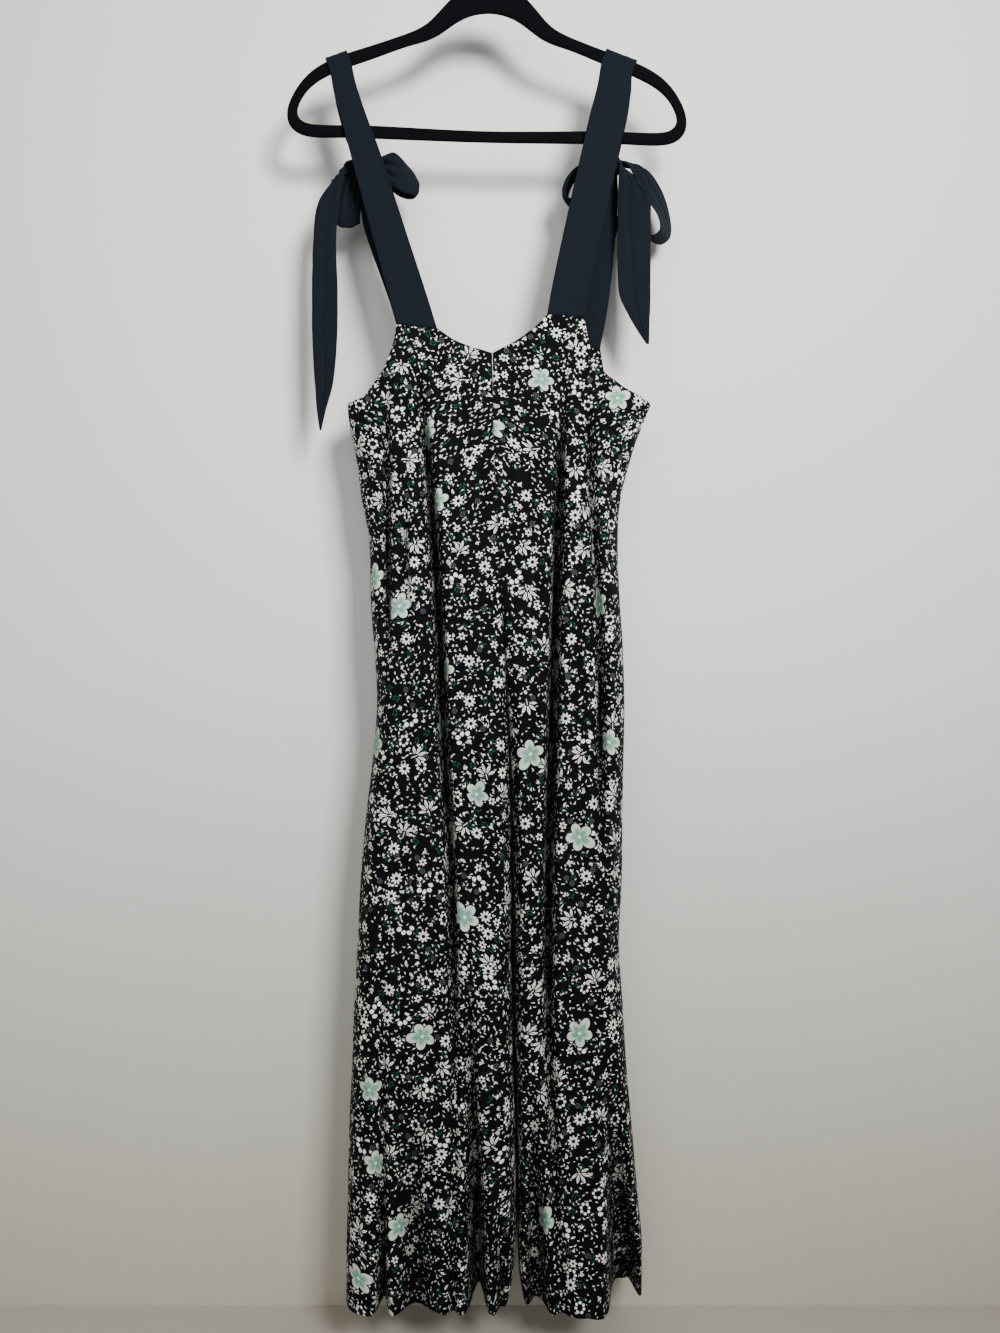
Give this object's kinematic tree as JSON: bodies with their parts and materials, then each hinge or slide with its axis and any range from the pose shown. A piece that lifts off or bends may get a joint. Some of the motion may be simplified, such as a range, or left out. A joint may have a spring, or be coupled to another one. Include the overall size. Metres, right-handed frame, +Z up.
{
  "type": "jumpsuit on a hanger",
  "caption": "Sleeveless wide-leg jumpsuit in small floral cloth with wide tie straps bowed behind the shoulders, hung on a slim flocked hanger.",
  "frame": {"origin": "top of the inside of the hanger's hook, where a rail carries it", "axes": "+Z up, -Y to the garment's front, +X to the wearer's left"},
  "size_m": [0.4412, 0.1044, 1.4997],
  "materials": {
    "floral_cloth": "matte woven viscose, black ground with a small white and mint leaf and flower print",
    "strap_cloth": "matte blue-black woven cloth, double layer",
    "velvet_flock": "short black flock over plastic",
    "hook_wire": "polished steel wire"
  },
  "bodies": {
    "root": {"front_right": "floral_cloth", "back_right": "floral_cloth", "strap_front_right": "strap_cloth", "strap_back_right": "strap_cloth", "bow_knot_right": "strap_cloth", "bow_loop_inner_right": "strap_cloth", "bow_loop_outer_right": "strap_cloth", "tie_tail_right": "strap_cloth", "tie_tail_hidden_right": "strap_cloth", "front_left": "floral_cloth", "back_left": "floral_cloth", "strap_front_left": "strap_cloth", "strap_back_left": "strap_cloth", "bow_knot_left": "strap_cloth", "bow_loop_inner_left": "strap_cloth", "bow_loop_outer_left": "strap_cloth", "tie_tail_left": "strap_cloth", "tie_tail_hidden_left": "strap_cloth", "hanger": "velvet_flock", "hanger_hook": "hook_wire"}
  },
  "joints": []
}
